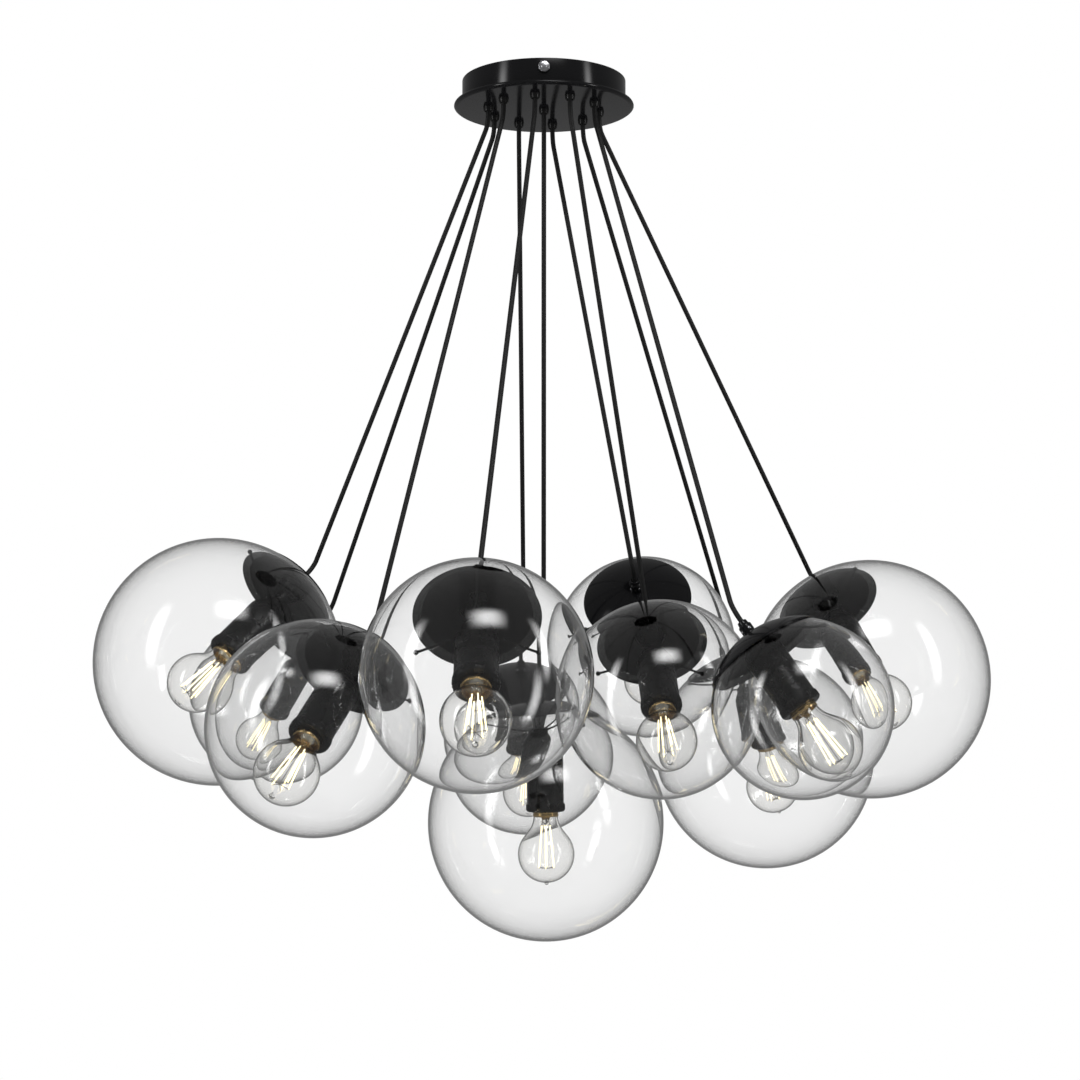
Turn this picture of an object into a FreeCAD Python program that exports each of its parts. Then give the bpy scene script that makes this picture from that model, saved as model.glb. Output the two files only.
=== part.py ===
import FreeCAD, Part
import math
import os
import Sketcher
from FreeCAD import Placement, Rotation, Vector

# Cluster pendant: a round ceiling canopy from which eleven cords fan out, each carrying a
# clear glass globe with a domed cap, a lampholder on spring arms and a pear-shaped bulb.
# Millimetres, +Z up. The origin is on the ceiling plane, at the middle of the bracket.

UP = Vector(0, 0, 1)
ACROSS = Vector(0, 1, 0)

SIZES = {
    # canopy
    "canopy_diameter": 172,
    "canopy_height": 25,
    "canopy_wall": 1.2,
    "canopy_flange": 14,
    "ceiling_gap": 0.5,
    "plate_overhang": 9,
    "plate_thickness": 5,
    "plate_edge_radius": 3,
    # ceiling bracket and its two side screws
    "bracket_width": 26,
    "bracket_thickness": 2,
    "bracket_leg_length": 17,
    "bracket_clearance": 0.6,
    "ceiling_hole_spacing": 80,
    "ceiling_hole_diameter": 5,
    "side_screw_diameter": 4,
    "side_screw_drop": 11,
    "side_screw_reach": 8,
    "side_knob_diameter": 12,
    "side_knob_length": 7,
    "screw_clearance": 0.2,
    # cord glands in the canopy plate
    "cord_ring_radius": 59,
    "gland_collar_diameter": 11,
    "gland_collar_height": 5,
    "gland_shank_diameter": 8.8,
    "gland_nut_width": 13,
    "gland_nut_height": 4,
    "gland_clearance": 0.15,
    "cord_diameter": 5,
    "cord_play": 1,
    "cord_entry_depth": 3,
    "cord_drop_run": 16,
    "cord_grip_run": 20,
    # globes
    "globe_large": 250,
    "globe_medium": 200,
    "globe_small": 170,
    "glass_wall": 2,
    "mouth_diameter": 100,
    # caps and cord grips
    "cap_overlap": 8,
    "cap_wall": 1.2,
    "cap_clearance": 0.3,
    "grip_diameter": 13,
    "grip_height": 14.5,
    # lampholders and spring arms
    "nipple_diameter": 10,
    "neck_length": 38,
    "hub_diameter": 26,
    "hub_height": 7,
    "shoulder_height": 9,
    "holder_diameter": 39,
    "holder_length": 76,
    "holder_ring_stand": 1.5,
    "holder_ring_height": 9,
    "socket_depth": 27,
    "arm_diameter": 2.4,
    "arm_overlap": 13,
    "arm_tip_diameter": 5,
    "arm_tip_clearance": 0.4,
    # bulbs
    "bulb_diameter": 60,
    "bulb_length": 75,
    "bulb_wall": 1,
    "bulb_base_diameter": 27,
    "thread_clearance": 0.2,
    "bulb_neck_diameter": 27,
    "bulb_end_room": 8,
}

# Each pendant: globe size, gland slot on the canopy, globe centre, lean of the head from the
# vertical and the compass bearing that it leans towards, in degrees from +X.
PENDANTS = {
    "a": ("globe_large", 0, (-329, -46, -612), 50, -136),
    "b": ("globe_medium", 9, (-300, 215, -651), 37, 145),
    "c": ("globe_medium", 1, (-210, -256, -678), 48, -118),
    "d": ("globe_medium", 2, (-58, -408, -633), 50, -89),
    "e": ("globe_medium", 8, (-20, 296, -704), 30, 88),
    "f": ("globe_large", None, (2, 79, -779), 2, 66),
    "g": ("globe_medium", 7, (111, 152, -591), 54, 81),
    "h": ("globe_medium", 3, (116, -72, -650), 46, -85),
    "i": ("globe_small", 4, (240, -221, -660), 36, -25),
    "j": ("globe_large", 6, (255, 277, -716), 19, 33),
    "k": ("globe_large", 5, (342, 42, -628), 43, -63),
}
RING_SLOTS = 10
FIRST_SLOT_BEARING = -171

ARM_COUNT = 3
SIDE_SCREWS = 2

doc = FreeCAD.newDocument("cluster_pendant")
sheet = doc.addObject("Spreadsheet::Sheet", "Sizes")
for row, (alias, value) in enumerate(SIZES.items(), start=1):
    sheet.set(f"A{row}", alias)
    sheet.set(f"B{row}", str(value))
    sheet.setAlias(f"B{row}", alias)
doc.recompute()

subparts = []


def size(alias):
    return float(getattr(sheet, alias))


def bind(item, **expressions):
    """Ties properties of an object to sizes in the sheet."""
    for name, expression in expressions.items():
        item.setExpression(name, expression)
    return item


def named(item, label, placement=None):
    """Keeps an object as a finished sub-part."""
    item.Label = label
    if placement is not None:
        item.Placement = placement
    subparts.append(item)
    return item


def primitive(kind, name, at=None, **expressions):
    """A Part primitive with its sizes bound, whose base centre lies at the height given."""
    item = bind(doc.addObject(f"Part::{kind}", name), **expressions)
    if at is not None:
        item.setExpression("Placement.Base.z", at)
    return item


def cut(name, base, tool):
    item = doc.addObject("Part::Cut", name)
    item.Base = base
    item.Tool = tool
    return item


def common(name, base, tool):
    item = doc.addObject("Part::Common", name)
    item.Base = base
    item.Tool = tool
    return item


def fuse(name, shapes):
    item = doc.addObject("Part::MultiFuse", name)
    item.Shapes = shapes
    return item


def origin_plane(body, role):
    return next(item for item in body.Origin.OriginFeatures if item.Role == role)


def new_sketch(body, name, role="XY_Plane", offset=None):
    """An empty sketch on one of the body's own planes."""
    sketch = body.newObject("Sketcher::SketchObject", name)
    sketch.AttachmentSupport = (origin_plane(body, role), [""])
    sketch.MapMode = "FlatFace"
    if offset is not None:
        sketch.setExpression("AttachmentOffset.Base.z", offset)
    return sketch


def add_circle(sketch, centre, radius, expressions):
    """A circle whose place and radius follow the sheet: keys are x, y and radius."""
    index = sketch.addGeometry(Part.Circle(Vector(centre[0], centre[1], 0), UP, radius))
    rules = {"radius": sketch.addConstraint(Sketcher.Constraint("Radius", index, radius))}
    rules["x"] = sketch.addConstraint(Sketcher.Constraint("DistanceX", -1, 1, index, 3, centre[0]))
    rules["y"] = sketch.addConstraint(Sketcher.Constraint("DistanceY", -1, 1, index, 3, centre[1]))
    for key, expression in expressions.items():
        sketch.setExpression(f"Constraints[{rules[key]}]", expression)
    return index


def add_centred_box(sketch, width, depth, width_rule, depth_rule):
    """A rectangle centred on the sketch's origin."""
    corners = [Vector(x * width / 2, y * depth / 2, 0) for x, y in ((-1, -1), (1, -1), (1, 1), (-1, 1))]
    first = sketch.GeometryCount
    for index in range(4):
        sketch.addGeometry(Part.LineSegment(corners[index], corners[(index + 1) % 4]))
    for index in range(4):
        after = first + (index + 1) % 4
        sketch.addConstraint(Sketcher.Constraint("Coincident", first + index, 2, after, 1))
        direction = "Horizontal" if index % 2 == 0 else "Vertical"
        sketch.addConstraint(Sketcher.Constraint(direction, first + index))
    sketch.addConstraint(Sketcher.Constraint("Symmetric", first, 1, first + 2, 1, -1, 1))
    across = sketch.addConstraint(Sketcher.Constraint("DistanceX", first, 1, first, 2, width))
    along = sketch.addConstraint(Sketcher.Constraint("DistanceY", first + 1, 1, first + 1, 2, depth))
    sketch.setExpression(f"Constraints[{across}]", width_rule)
    sketch.setExpression(f"Constraints[{along}]", depth_rule)


def pad(body, sketch, name, length, midplane=False, reverse=False):
    feature = body.newObject("PartDesign::Pad", name)
    feature.Profile = sketch
    feature.setExpression("Length", length)
    feature.Midplane = midplane
    feature.Reversed = reverse
    return feature


def pocket(body, sketch, name, length, reverse=False, midplane=False):
    """Cuts a sketch out of a body, and proves that it took material away."""
    before = body.Tip.Shape.Volume
    feature = body.newObject("PartDesign::Pocket", name)
    feature.Profile = sketch
    feature.setExpression("Length", length)
    feature.Reversed = reverse
    feature.Midplane = midplane
    doc.recompute()
    if feature.Shape.Volume > before - 1:
        raise RuntimeError(f"{name} cut nothing")
    return feature


# ---- canopy ---------------------------------------------------------------------------------


def make_canopy_pan():
    """The drum under the ceiling: a thin round wall with a flange that carries the plate."""
    body = doc.addObject("PartDesign::Body", "canopy_pan")
    disc = new_sketch(body, "pan_outline", offset="-Sizes.canopy_height")
    add_circle(disc, (0, 0), size("canopy_diameter") / 2, {"radius": "Sizes.canopy_diameter / 2"})
    pad(body, disc, "pan_block", "Sizes.canopy_height - Sizes.ceiling_gap")
    doc.recompute()
    hollow = new_sketch(body, "pan_hollow", offset="-Sizes.canopy_height + Sizes.canopy_wall")
    add_circle(hollow, (0, 0), size("canopy_diameter") / 2 - size("canopy_wall"),
               {"radius": "Sizes.canopy_diameter / 2 - Sizes.canopy_wall"})
    pocket(body, hollow, "pan_inside", "Sizes.canopy_height", reverse=True)
    window = new_sketch(body, "pan_window", offset="-Sizes.canopy_height")
    add_circle(window, (0, 0), size("canopy_diameter") / 2 - size("canopy_flange"),
               {"radius": "Sizes.canopy_diameter / 2 - Sizes.canopy_flange"})
    pocket(body, window, "pan_opening", "Sizes.canopy_wall", reverse=True)
    holes = new_sketch(body, "pan_screw_holes", role="XZ_Plane")
    add_circle(holes, (0, -size("side_screw_drop")), size("side_screw_diameter") / 2 + size("screw_clearance"),
               {"y": "-Sizes.side_screw_drop", "radius": "Sizes.side_screw_diameter / 2 + Sizes.screw_clearance"})
    pocket(body, holes, "pan_side_holes", "Sizes.canopy_diameter * 2", midplane=True)
    named(body, "canopy_pan")


def make_canopy_plate():
    """The wider disc that closes the drum, with a rounded edge and a hole for every gland."""
    body = doc.addObject("PartDesign::Body", "canopy_plate")
    disc = new_sketch(body, "plate_outline", offset="-Sizes.canopy_height")
    add_circle(disc, (0, 0), size("canopy_diameter") / 2 + size("plate_overhang"),
               {"radius": "Sizes.canopy_diameter / 2 + Sizes.plate_overhang"})
    pad(body, disc, "plate_disc", "Sizes.plate_thickness", reverse=True)
    doc.recompute()
    hole_radius = "Sizes.gland_shank_diameter / 2 + Sizes.gland_clearance"
    hole_size = size("gland_shank_diameter") / 2 + size("gland_clearance")
    middle = new_sketch(body, "plate_middle_hole", offset="-Sizes.canopy_height")
    add_circle(middle, (0, 0), hole_size, {"radius": hole_radius})
    pocket(body, middle, "plate_centre", "Sizes.plate_thickness")
    ring = new_sketch(body, "plate_ring_hole", offset="-Sizes.canopy_height")
    bearing = math.radians(FIRST_SLOT_BEARING)
    place = (size("cord_ring_radius") * math.cos(bearing), size("cord_ring_radius") * math.sin(bearing))
    add_circle(ring, place, hole_size, {
        "x": f"Sizes.cord_ring_radius * cos({FIRST_SLOT_BEARING})",
        "y": f"Sizes.cord_ring_radius * sin({FIRST_SLOT_BEARING})",
        "radius": hole_radius,
    })
    first = pocket(body, ring, "plate_first_hole", "Sizes.plate_thickness")
    pattern = body.newObject("PartDesign::PolarPattern", "plate_holes")
    pattern.Originals = [first]
    pattern.Axis = (origin_plane(body, "Z_Axis"), [""])
    pattern.Angle = 360
    pattern.Occurrences = RING_SLOTS
    body.Tip = pattern
    doc.recompute()
    rim = body.newObject("PartDesign::Fillet", "plate_edge")
    lower = -size("canopy_height") - size("plate_thickness")
    edges = [f"Edge{index}" for index, edge in enumerate(pattern.Shape.Edges, start=1)
             if abs(edge.BoundBox.ZMax - lower) < 1e-3 and edge.BoundBox.XLength > size("canopy_diameter")]
    rim.Base = (pattern, edges)
    rim.setExpression("Radius", "min(Sizes.plate_edge_radius; Sizes.plate_thickness * 0.9)")
    body.Tip = rim
    named(body, "canopy_plate")


def make_ceiling_bracket():
    """The strap that screws to the ceiling, its square ends just clear of the drum's round wall."""
    body = doc.addObject("PartDesign::Body", "ceiling_bracket")
    inner = "(Sizes.canopy_diameter / 2 - Sizes.canopy_wall - Sizes.bracket_clearance)"
    span = f"2 * sqrt({inner} ^ 2 - (Sizes.bracket_width / 2) ^ 2)"
    inner_radius = size("canopy_diameter") / 2 - size("canopy_wall") - size("bracket_clearance")
    reach = 2 * math.sqrt(inner_radius ** 2 - (size("bracket_width") / 2) ** 2)
    strap = new_sketch(body, "strap_outline")
    add_centred_box(strap, size("bracket_width"), reach, "Sizes.bracket_width", span)
    pad(body, strap, "strap_block", "Sizes.bracket_leg_length", reverse=True)
    doc.recompute()
    inside = new_sketch(body, "strap_inside", offset="-Sizes.bracket_thickness")
    add_centred_box(inside, size("bracket_width") * 2, reach - 2 * size("bracket_thickness"),
                    "Sizes.bracket_width * 2", f"{span} - 2 * Sizes.bracket_thickness")
    pocket(body, inside, "strap_hollow", "Sizes.bracket_leg_length")
    holes = new_sketch(body, "strap_screw_holes")
    for side in (-1, 1):
        add_circle(holes, (0, side * size("ceiling_hole_spacing") / 2), size("ceiling_hole_diameter") / 2, {
            "y": f"{side} * Sizes.ceiling_hole_spacing / 2",
            "radius": "Sizes.ceiling_hole_diameter / 2",
        })
    pocket(body, holes, "strap_ceiling_holes", "Sizes.bracket_thickness")
    threads = new_sketch(body, "strap_threads", role="XZ_Plane")
    add_circle(threads, (0, -size("side_screw_drop")), size("side_screw_diameter") / 2,
               {"y": "-Sizes.side_screw_drop", "radius": "Sizes.side_screw_diameter / 2"})
    pocket(body, threads, "strap_side_holes", "Sizes.canopy_diameter * 2", midplane=True)
    named(body, "ceiling_bracket")


def make_side_screws():
    """Two knurl-headed screws, through the drum's wall into the bracket's legs."""
    screws = []
    for index in range(SIDE_SCREWS):
        shank = bind(doc.addObject("Part::Cylinder", f"side_screw_shank_{index}"),
                     Radius="Sizes.side_screw_diameter / 2",
                     Height="Sizes.side_screw_reach")
        head = bind(doc.addObject("Part::Cylinder", f"side_screw_knob_{index}"),
                    Radius="Sizes.side_knob_diameter / 2",
                    Height="Sizes.side_knob_length")
        head.setExpression("Placement.Base.z", "Sizes.side_screw_reach")
        bevel = doc.addObject("Part::Chamfer", f"side_screw_bevel_{index}")
        bevel.Base = head
        doc.recompute()
        outer = [n for n, edge in enumerate(head.Shape.Edges, start=1)
                 if edge.Closed and edge.BoundBox.ZMin > size("side_screw_reach") + 1]
        bevel.Edges = [(n, 1.0, 1.0) for n in outer]
        screw = fuse(f"side_screw_{index}", [shank, bevel])
        turn = Rotation(UP, 180 * index) * Rotation(Vector(1, 0, 0), 90)
        start = size("canopy_diameter") / 2 - size("side_screw_reach")
        facing = -1 if index == 0 else 1
        screw.Placement = Placement(Vector(0, facing * start, -size("side_screw_drop")), turn)
        screws.append(screw)
    group = doc.addObject("Part::Compound", "side_screws")
    group.Links = screws
    named(group, "side_screws")


def gland_places():
    """The ring of glands, then the one in the middle."""
    places = []
    for slot in range(RING_SLOTS):
        bearing = math.radians(FIRST_SLOT_BEARING + slot * 360 / RING_SLOTS)
        places.append(Vector(math.cos(bearing), math.sin(bearing), 0) * size("cord_ring_radius"))
    return places + [Vector(0, 0, 0)]


def make_cord_glands():
    """Threaded collars: a domed ring below the plate, a shank through it and a nut above."""
    glands = []
    for index, place in enumerate(gland_places()):
        collar = primitive("Cylinder", f"gland_collar_{index}",
                           at="-Sizes.canopy_height - Sizes.plate_thickness - Sizes.gland_collar_height",
                           Radius="Sizes.gland_collar_diameter / 2", Height="Sizes.gland_collar_height")
        shank = primitive("Cylinder", f"gland_shank_{index}",
                          at="-Sizes.canopy_height - Sizes.plate_thickness - Sizes.gland_collar_height",
                          Radius="Sizes.gland_shank_diameter / 2",
                          Height="Sizes.gland_collar_height + Sizes.plate_thickness + Sizes.gland_nut_height")
        nut = primitive("Prism", f"gland_nut_{index}", at="-Sizes.canopy_height",
                        Circumradius="Sizes.gland_nut_width / sqrt(3)", Height="Sizes.gland_nut_height")
        nut.Polygon = 6
        bore = primitive("Cylinder", f"gland_bore_{index}",
                         at="-Sizes.canopy_height - Sizes.plate_thickness - 2 * Sizes.gland_collar_height",
                         Radius="Sizes.cord_diameter / 2 + Sizes.cord_play",
                         Height="4 * Sizes.gland_collar_height + Sizes.plate_thickness + Sizes.gland_nut_height")
        gland = cut(f"gland_{index}", fuse(f"gland_body_{index}", [collar, shank, nut]), bore)
        gland.Placement = Placement(place, Rotation())
        glands.append(gland)
    group = doc.addObject("Part::Compound", "cord_glands")
    group.Links = glands
    named(group, "cord_glands")


# ---- pendant heads --------------------------------------------------------------------------
# A head is built upright with the top of its cord grip at the origin and its axis along -Z.


def head_top():
    """From the top of the grip down to the crown of the glass."""
    return size("grip_height") + size("cap_wall") + size("cap_clearance")


def head_axis(lean, bearing):
    lean_angle = math.radians(lean)
    bearing_angle = math.radians(bearing)
    flat = math.sin(lean_angle)
    return Vector(flat * math.cos(bearing_angle), flat * math.sin(bearing_angle), -math.cos(lean_angle))


def head_placement(globe, centre, lean, bearing):
    axis = head_axis(lean, bearing)
    top = Vector(*centre) - axis * (size(globe) / 2 + head_top())
    return Placement(top, Rotation(UP, bearing) * Rotation(ACROSS, -lean))


CROWN = "-(Sizes.grip_height + Sizes.cap_wall + Sizes.cap_clearance)"


def sphere_centre(globe):
    return f"{CROWN} - Sizes.{globe} / 2"


def make_globe(key, globe, placement):
    """A blown glass sphere, open at the top where the head goes in."""
    outside = primitive("Sphere", f"glass_outside_{key}", at=sphere_centre(globe), Radius=f"Sizes.{globe} / 2")
    inside = primitive("Sphere", f"glass_inside_{key}", at=sphere_centre(globe),
                       Radius=f"Sizes.{globe} / 2 - Sizes.glass_wall")
    mouth = primitive("Cylinder", f"glass_mouth_{key}", at=sphere_centre(globe),
                      Radius="Sizes.mouth_diameter / 2", Height=f"Sizes.{globe}")
    shell = cut(f"glass_shell_{key}", outside, inside)
    named(cut(f"glass_{key}", shell, mouth), f"globe_{key}", placement)


def make_cap(key, globe, placement):
    """A domed steel cap that lies over the globe's mouth, with the cord grip on its crown."""
    outside = primitive("Sphere", f"dome_outside_{key}", at=sphere_centre(globe),
                        Radius=f"Sizes.{globe} / 2 + Sizes.cap_clearance + Sizes.cap_wall")
    inside = primitive("Sphere", f"dome_inside_{key}", at=sphere_centre(globe),
                       Radius=f"Sizes.{globe} / 2 + Sizes.cap_clearance")
    rim = primitive("Cylinder", f"dome_rim_{key}", at=sphere_centre(globe),
                    Radius="Sizes.mouth_diameter / 2 + Sizes.cap_overlap", Height=f"Sizes.{globe}")
    dome = common(f"dome_{key}", cut(f"dome_shell_{key}", outside, inside), rim)
    grip = primitive("Cylinder", f"grip_{key}", at="-Sizes.grip_height - Sizes.cap_wall * 0.8",
                     Radius="Sizes.grip_diameter / 2", Height="Sizes.grip_height + Sizes.cap_wall * 0.8")
    named(fuse(f"cap_whole_{key}", [dome, grip]), f"cap_{key}", placement)


def neck(globe):
    """The neck is cut short in a globe too small for a head of full length."""
    stack = "Sizes.glass_wall - Sizes.holder_length - Sizes.bulb_length - Sizes.bulb_end_room"
    return f"min(Sizes.neck_length; Sizes.{globe} - {stack})"


def neck_length(globe):
    stack = size("glass_wall") + size("holder_length") + size("bulb_length") + size("bulb_end_room")
    return min(size("neck_length"), size(globe) - stack)


def make_holder(key, globe, placement):
    """The lampholder on its nipple, with the hub and the sprung arms that carry the glass."""
    neck_rule = neck(globe)
    holder_top = f"{CROWN} - {neck_rule}"
    nipple = primitive("Cylinder", f"nipple_{key}", at=holder_top,
                       Radius="Sizes.nipple_diameter / 2",
                       Height=f"{neck_rule} + Sizes.cap_clearance")
    hub = primitive("Cylinder", f"hub_{key}", at=holder_top,
                    Radius="Sizes.hub_diameter / 2", Height="Sizes.hub_height")
    shoulder = primitive("Cone", f"shoulder_{key}", at=f"{holder_top} - Sizes.shoulder_height",
                         Radius1="Sizes.holder_diameter / 2", Radius2="Sizes.hub_diameter / 2",
                         Height="Sizes.shoulder_height")
    barrel = primitive("Cylinder", f"barrel_{key}", at=f"{holder_top} - Sizes.holder_length",
                       Radius="Sizes.holder_diameter / 2",
                       Height="Sizes.holder_length - Sizes.shoulder_height")
    ring = primitive("Cylinder", f"ring_{key}", at=f"{holder_top} - Sizes.holder_length",
                     Radius="Sizes.holder_diameter / 2 + Sizes.holder_ring_stand", Height="Sizes.holder_ring_height")
    socket = primitive("Cylinder", f"socket_{key}", at=f"{holder_top} - Sizes.holder_length",
                       Radius="Sizes.bulb_base_diameter / 2 + Sizes.thread_clearance",
                       Height="Sizes.socket_depth")
    radius = size(globe) / 2
    crown = head_top()
    arm_start = Vector(size("hub_diameter") / 4, 0, -crown - neck_length(globe) + size("hub_height") / 2)
    tip_room = size("glass_wall") + size("arm_tip_diameter") / 2 + size("arm_tip_clearance")
    reach = size("mouth_diameter") / 2 + size("arm_overlap")
    tip_height = math.sqrt((radius - tip_room) ** 2 - reach ** 2)
    arm_end = Vector(reach, 0, tip_height - crown - radius)
    arm_run = arm_end - arm_start
    arms = []
    for index in range(ARM_COUNT):
        arm = bind(doc.addObject("Part::Cylinder", f"arm_{key}_{index}"), Radius="Sizes.arm_diameter / 2")
        arm.Height = arm_run.Length
        tip = bind(doc.addObject("Part::Sphere", f"arm_tip_{key}_{index}"), Radius="Sizes.arm_tip_diameter / 2")
        spin = Rotation(UP, index * 360 / ARM_COUNT)
        arm.Placement = Placement(spin.multVec(arm_start), spin * Rotation(UP, arm_run))
        tip.Placement = Placement(spin.multVec(arm_end), Rotation())
        arms += [arm, tip]
    whole = fuse(f"holder_whole_{key}", [nipple, hub, shoulder, barrel, ring] + arms)
    named(cut(f"holder_cut_{key}", whole, socket), f"holder_{key}", placement)


def pear(key, face, layer, inset):
    """The bulb's ball and taper, drawn in by the inset."""
    ball_height = f"{face} - Sizes.bulb_length + Sizes.bulb_diameter / 2"
    ball = primitive("Sphere", f"bulb_ball_{layer}_{key}", at=ball_height,
                     Radius=f"Sizes.bulb_diameter / 2 - {inset}")
    taper = primitive("Cone", f"bulb_taper_{layer}_{key}", at=f"{ball_height} + Sizes.bulb_diameter / 4",
                      Radius1=f"Sizes.bulb_diameter * sqrt(3) / 4 - {inset}",
                      Radius2=f"Sizes.bulb_neck_diameter / 2 - {inset}",
                      Height=f"Sizes.bulb_length - Sizes.bulb_diameter * 3 / 4")
    return [ball, taper]


def make_bulb(key, globe, placement):
    """A hollow pear-shaped bulb on a screw base."""
    face = f"{CROWN} - {neck(globe)} - Sizes.holder_length"
    base = primitive("Cylinder", f"bulb_base_{key}", at=face, Radius="Sizes.bulb_base_diameter / 2",
                     Height="Sizes.socket_depth")
    outside = fuse(f"bulb_outside_{key}", [base] + pear(key, face, "outer", "0"))
    inside = fuse(f"bulb_inside_{key}", pear(key, face, "inner", "Sizes.bulb_wall"))
    named(cut(f"bulb_whole_{key}", outside, inside), f"bulb_{key}", placement)


# ---- cords ----------------------------------------------------------------------------------


def cord_route(slot, placement):
    """Down out of the gland, taut across to the head, then in along the head's own axis."""
    exit_height = -size("canopy_height") - size("plate_thickness") - size("gland_collar_height")
    places = gland_places()
    gland = places[slot if slot is not None else RING_SLOTS]
    start = gland + UP * (exit_height + size("cord_entry_depth"))
    bend = gland + UP * (exit_height + size("cord_entry_depth") - size("cord_drop_run"))
    grip = placement.Base
    lead = grip + placement.Rotation.multVec(UP) * size("cord_grip_run")
    return [start, bend, lead, grip]


def make_cord(key, route):
    """A round cord along straight runs joined by tangent arcs."""
    edges = []
    here = route[0]
    length = 0
    for before, corner, after in zip(route, route[1:], route[2:]):
        into = (corner - before).normalize()
        away = (after - corner).normalize()
        half_turn = into.getAngle(away) / 2
        shorter = min((corner - before).Length, (after - corner).Length)
        trim = 0.45 * shorter
        radius = trim / math.tan(half_turn)
        arc_start = corner - into * trim
        arc_end = corner + away * trim
        inward = (away - into).normalize()
        middle = corner + inward * (radius / math.cos(half_turn) - radius)
        edges.append(Part.LineSegment(here, arc_start).toShape())
        edges.append(Part.Arc(arc_start, middle, arc_end).toShape())
        length += (arc_start - here).Length + 2 * half_turn * radius
        here = arc_end
        print(f"cord_{key}: bend radius {radius:.1f}, turn {math.degrees(2 * half_turn):.0f}")
    edges.append(Part.LineSegment(here, route[-1]).toShape())
    length += (route[-1] - here).Length
    path = Part.Wire(edges)
    radius = size("cord_diameter") / 2
    section = Part.Wire([Part.Circle(route[0], route[1] - route[0], radius).toShape()])
    tube = path.makePipeShell([section], True, False)
    expected = math.pi * radius ** 2 * length
    print(f"cord_{key}: length {length:.1f}, volume ratio {tube.Volume / expected:.4f}")
    cord = doc.addObject("Part::Feature", f"cord_{key}")
    cord.Shape = tube
    named(cord, f"cord_{key}")


make_ceiling_bracket()
make_canopy_pan()
make_canopy_plate()
make_side_screws()
make_cord_glands()
for pendant, (globe_size, gland_slot, centre, lean, bearing) in PENDANTS.items():
    place = head_placement(globe_size, centre, lean, bearing)
    make_globe(pendant, globe_size, place)
    make_cap(pendant, globe_size, place)
    make_holder(pendant, globe_size, place)
    make_bulb(pendant, globe_size, place)
    make_cord(pendant, cord_route(gland_slot, place))
doc.recompute()

faults = [item.Name for item in doc.Objects if {"Invalid", "Error"} & set(item.State)]
for item in subparts:
    if item.Shape.isNull() or not item.Shape.isValid():
        faults.append(item.Label)
if faults:
    raise RuntimeError(f"failed: {faults}")
os.makedirs("parts", exist_ok=True)
for item in subparts:
    item.Shape.exportStep(f"parts/{item.Label}.step")
    print(item.Label, len(item.Shape.Solids), round(item.Shape.Volume))
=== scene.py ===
# %% [markdown]
# # Cluster pendant
# Eleven clear globes hang from one small canopy and lean on each other. Each has a domed cap over
# its mouth, a lampholder on sprung wire arms and a filament bulb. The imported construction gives
# every place and size. This script gives each piece its visible shape and finish.

# %% Load the frame
import math
import bmesh
import bpy
from mathutils import Matrix, Vector


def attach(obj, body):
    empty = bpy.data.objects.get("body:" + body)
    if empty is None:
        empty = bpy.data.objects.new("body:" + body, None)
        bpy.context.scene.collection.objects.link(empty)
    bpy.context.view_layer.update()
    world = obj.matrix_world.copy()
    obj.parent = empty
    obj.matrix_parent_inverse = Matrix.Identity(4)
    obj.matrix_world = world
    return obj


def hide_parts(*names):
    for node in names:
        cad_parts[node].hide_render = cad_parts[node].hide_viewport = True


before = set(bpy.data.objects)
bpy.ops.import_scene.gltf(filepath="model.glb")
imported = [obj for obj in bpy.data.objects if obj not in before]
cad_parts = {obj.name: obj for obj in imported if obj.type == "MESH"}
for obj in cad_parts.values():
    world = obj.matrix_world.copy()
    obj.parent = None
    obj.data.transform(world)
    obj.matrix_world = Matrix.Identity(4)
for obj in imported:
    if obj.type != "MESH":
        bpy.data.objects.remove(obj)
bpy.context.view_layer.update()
scene = bpy.context.scene

# %% [markdown]
# ## The camera
# The photograph looks slightly up at the cluster from the height of the globes, from a little
# over two metres. The lens is long, so the globes at the back are only a little smaller.

# %% Camera
PHOTO_PIXELS = 1080
FOCAL_PIXELS = 2200
SENSOR = 36
PITCH = math.radians(4.626)
camera_data = bpy.data.cameras.new("photo_camera")
camera_data.sensor_width = SENSOR
camera_data.lens = FOCAL_PIXELS / PHOTO_PIXELS * SENSOR
camera = bpy.data.objects.new("photo_camera", camera_data)
camera.location = (-0.0041, -2.273, -0.669)
camera.rotation_euler = (math.pi / 2 + PITCH, 0, 0)
scene.collection.objects.link(camera)
scene.camera = camera
print("lens", round(camera_data.lens, 1))

# %% [markdown]
# ## Driving sizes
# These repeat the construction's sizes, in metres. Each pendant has its globe's radius, the slot
# of its gland on the canopy, the globe's centre, the head's lean and the bearing it leans to.

# %% Sizes and places
LARGE, MEDIUM, SMALL = 0.125, 0.100, 0.085
PENDANTS = {
    "a": (LARGE, 0, (-0.329, -0.046, -0.612), 50, -136),
    "b": (MEDIUM, 9, (-0.300, 0.215, -0.651), 37, 145),
    "c": (MEDIUM, 1, (-0.210, -0.256, -0.678), 48, -118),
    "d": (MEDIUM, 2, (-0.058, -0.408, -0.633), 50, -89),
    "e": (MEDIUM, 8, (-0.020, 0.296, -0.704), 30, 88),
    "f": (LARGE, None, (0.002, 0.079, -0.779), 2, 66),
    "g": (MEDIUM, 7, (0.111, 0.152, -0.591), 54, 81),
    "h": (MEDIUM, 3, (0.116, -0.072, -0.650), 46, -85),
    "i": (SMALL, 4, (0.240, -0.221, -0.660), 36, -25),
    "j": (LARGE, 6, (0.255, 0.277, -0.716), 19, 33),
    "k": (LARGE, 5, (0.342, 0.042, -0.628), 43, -63),
}
RING_SLOTS = 10
FIRST_SLOT_BEARING = -171
RING_RADIUS = 0.059
GLASS_WALL = 0.002
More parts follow.
